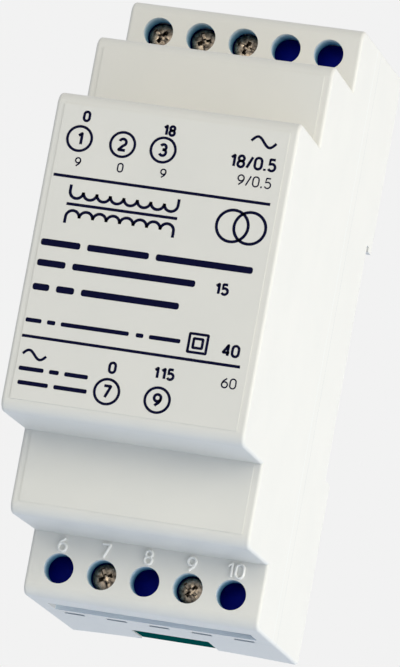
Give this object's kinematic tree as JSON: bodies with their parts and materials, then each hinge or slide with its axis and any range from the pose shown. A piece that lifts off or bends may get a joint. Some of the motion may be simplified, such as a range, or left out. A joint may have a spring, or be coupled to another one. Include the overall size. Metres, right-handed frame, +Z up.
{
  "type": "din rail transformer",
  "caption": "Stepped light grey plastic housing holding a small mains transformer, with screw terminals at both ends and a sliding clip for a standard equipment rail.",
  "frame": {"origin": "middle of the rail seat, on the plane that the rail's flanges rest against", "axes": "+X along the rail, to the right seen from the front; +Y to the rear, into the wall; +Z up"},
  "size_m": [0.035, 0.0629, 0.09],
  "materials": {
    "housing_plastic": "fine satin, light grey",
    "base_plastic": "fine satin, light grey",
    "clip_plastic": "satin, dark green",
    "spring_steel": "bright strip",
    "block_plastic": "matt blue",
    "screw_metal": "yellow passivated",
    "clamp_steel": "zinc plated",
    "contact_metal": "tinned",
    "core_steel": "oxidised laminations",
    "bobbin_plastic": "glass filled, black",
    "copper": "enamelled wire",
    "thermistor_coat": "dipped",
    "lead_sleeve": "sleeved wire"
  },
  "bodies": {
    "transformer": {"hood": "housing_plastic", "base": "base_plastic", "clip_spring": "spring_steel", "upper_terminal_block": "block_plastic", "lower_terminal_block": "block_plastic", "core_e_stack": "core_steel", "core_i_stack": "core_steel", "bobbin": "bobbin_plastic", "primary_winding": "copper", "inner_secondary_winding": "copper", "outer_secondary_winding": "copper", "thermistor": "thermistor_coat", "contact_1": "contact_metal", "lead_1": "lead_sleeve", "contact_2": "contact_metal", "lead_2": "lead_sleeve", "contact_3": "contact_metal", "lead_3": "lead_sleeve", "contact_7": "contact_metal", "lead_7": "lead_sleeve", "contact_9": "contact_metal", "lead_9": "lead_sleeve"},
    "rail_clip": {"rail_clip": "clip_plastic"},
    "terminal_screw_1": {"terminal_screw_1": "screw_metal"},
    "terminal_screw_2": {"terminal_screw_2": "screw_metal"},
    "terminal_screw_3": {"terminal_screw_3": "screw_metal"},
    "terminal_screw_7": {"terminal_screw_7": "screw_metal"},
    "terminal_screw_9": {"terminal_screw_9": "screw_metal"},
    "rising_clamp_1": {"rising_clamp_1": "clamp_steel"},
    "rising_clamp_2": {"rising_clamp_2": "clamp_steel"},
    "rising_clamp_3": {"rising_clamp_3": "clamp_steel"},
    "rising_clamp_7": {"rising_clamp_7": "clamp_steel"},
    "rising_clamp_9": {"rising_clamp_9": "clamp_steel"}
  },
  "joints": [
    {"name": "clip_slide", "type": "slide", "parent": "transformer", "child": "rail_clip", "axis": [0, 0, -1], "range_m": [0, 0.003], "stiffness_N_per_m": 3000, "deforming": ["clip_spring"]},
    {"name": "screw_1_turn", "type": "hinge", "parent": "transformer", "child": "terminal_screw_1", "pos_m": [-0.0128, -0.0257, 0.04], "axis": [0, 1, 0], "range_deg": [0, 1152]},
    {"name": "clamp_1_rise", "type": "slide", "parent": "transformer", "child": "rising_clamp_1", "axis": [0, -1, 0], "range_m": [0, 0.0016]},
    {"name": "screw_2_turn", "type": "hinge", "parent": "transformer", "child": "terminal_screw_2", "pos_m": [-0.0064, -0.0257, 0.04], "axis": [0, 1, 0], "range_deg": [0, 1152]},
    {"name": "clamp_2_rise", "type": "slide", "parent": "transformer", "child": "rising_clamp_2", "axis": [0, -1, 0], "range_m": [0, 0.0016]},
    {"name": "screw_3_turn", "type": "hinge", "parent": "transformer", "child": "terminal_screw_3", "pos_m": [0, -0.0257, 0.04], "axis": [0, 1, 0], "range_deg": [0, 1152]},
    {"name": "clamp_3_rise", "type": "slide", "parent": "transformer", "child": "rising_clamp_3", "axis": [0, -1, 0], "range_m": [0, 0.0016]},
    {"name": "screw_7_turn", "type": "hinge", "parent": "transformer", "child": "terminal_screw_7", "pos_m": [-0.0064, -0.0257, -0.04], "axis": [0, 1, 0], "range_deg": [0, 1152]},
    {"name": "clamp_7_rise", "type": "slide", "parent": "transformer", "child": "rising_clamp_7", "axis": [0, -1, 0], "range_m": [0, 0.0016]},
    {"name": "screw_9_turn", "type": "hinge", "parent": "transformer", "child": "terminal_screw_9", "pos_m": [0.0064, -0.0257, -0.04], "axis": [0, 1, 0], "range_deg": [0, 1152]},
    {"name": "clamp_9_rise", "type": "slide", "parent": "transformer", "child": "rising_clamp_9", "axis": [0, -1, 0], "range_m": [0, 0.0016]}
  ],
  "couplings": [
    {"joint": "screw_1_turn", "follows": "clamp_1_rise", "rad_per_m": 12566},
    {"joint": "screw_2_turn", "follows": "clamp_2_rise", "rad_per_m": 12566},
    {"joint": "screw_3_turn", "follows": "clamp_3_rise", "rad_per_m": 12566},
    {"joint": "screw_7_turn", "follows": "clamp_7_rise", "rad_per_m": 12566},
    {"joint": "screw_9_turn", "follows": "clamp_9_rise", "rad_per_m": 12566}
  ]
}
